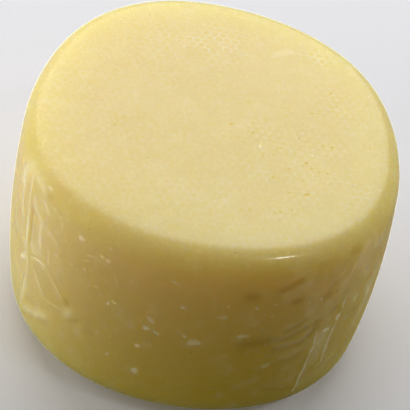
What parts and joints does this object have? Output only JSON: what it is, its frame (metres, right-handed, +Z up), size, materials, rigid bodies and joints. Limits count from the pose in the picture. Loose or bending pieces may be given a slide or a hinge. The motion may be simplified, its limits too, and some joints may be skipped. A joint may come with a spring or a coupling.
{
  "type": "alpine cheese",
  "caption": "Small whole drum-shaped alpine cheese, pale yellow, with rounded edges, shut tight in clear shrink film that folds at its sides.",
  "frame": {"origin": "middle of the flat base it stands on, at the foot of the box round the part", "axes": "+Z up out of the printed top face; -Y towards the side that shows best, with a film seam at either end of that side; +X to the right as seen from there"},
  "size_m": [0.1302, 0.137, 0.0796],
  "materials": {
    "wrapped_cheese": "pale yellow, smooth and waxy cheese under a tight clear film with a soft gloss and a few milky creases"
  },
  "bodies": {
    "root": {"wrapped_cheese": "wrapped_cheese"}
  },
  "joints": []
}
